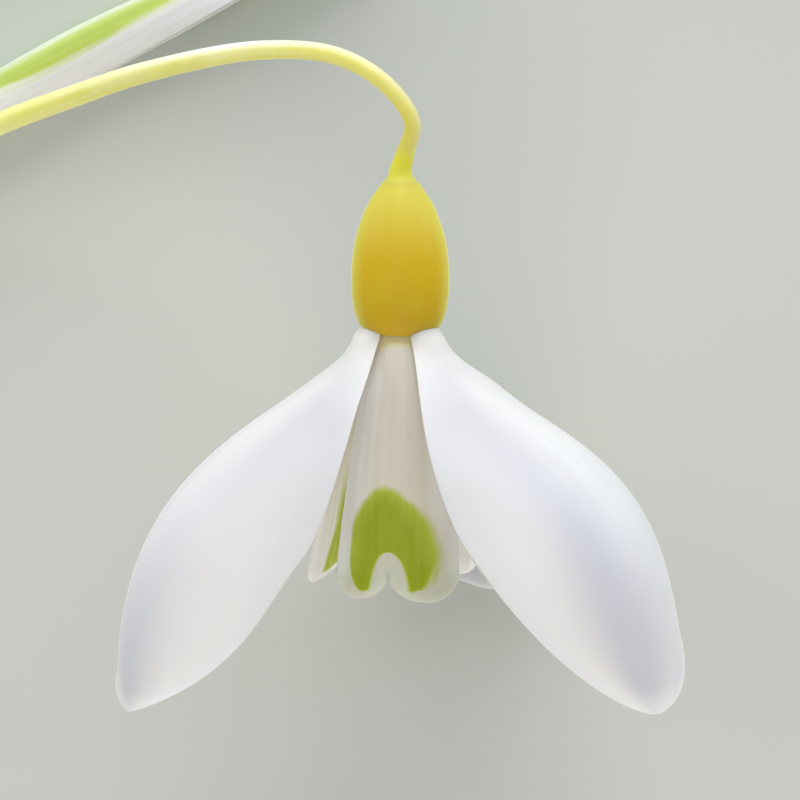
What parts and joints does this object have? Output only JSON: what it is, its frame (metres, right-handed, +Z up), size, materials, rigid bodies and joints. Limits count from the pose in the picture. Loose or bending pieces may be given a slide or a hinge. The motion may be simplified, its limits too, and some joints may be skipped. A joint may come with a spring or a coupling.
{
  "type": "snowdrop flower",
  "caption": "Single snowdrop flower, picked and laid down: white outer petals spread round shorter green-marked inner ones, with a yellow ovary on an arched stalk.",
  "frame": {"origin": "centre of the flower's outline where it rests, on the plane of the surface it lies on", "axes": "+Z up from that surface; +Y along the flower from its mouth to its stalk; +X across the flower, to the right when it is seen from above with the mouth at the bottom"},
  "size_m": [0.0542, 0.058, 0.0263],
  "materials": {
    "outer_tepal": "satin white petal with faint long ribs",
    "inner_tepal": "satin white petal with a green mark at its notch",
    "ovary": "smooth waxy yellow",
    "filament": "smooth white",
    "anther": "matt orange yellow",
    "style": "smooth pale green",
    "pedicel": "smooth waxy pale yellow",
    "spathe": "papery white with two green keels",
    "scape": "smooth green"
  },
  "bodies": {
    "root": {"outer_tepal_left": "outer_tepal", "outer_tepal_right": "outer_tepal", "outer_tepal_back": "outer_tepal", "inner_tepal_front": "inner_tepal", "inner_tepal_back_left": "inner_tepal", "inner_tepal_back_right": "inner_tepal", "ovary": "ovary", "filament_1": "filament", "filament_2": "filament", "filament_3": "filament", "filament_4": "filament", "filament_5": "filament", "filament_6": "filament", "anther_1": "anther", "anther_2": "anther", "anther_3": "anther", "anther_4": "anther", "anther_5": "anther", "anther_6": "anther", "style": "style", "pedicel": "pedicel", "spathe": "spathe", "scape": "scape"}
  },
  "joints": []
}
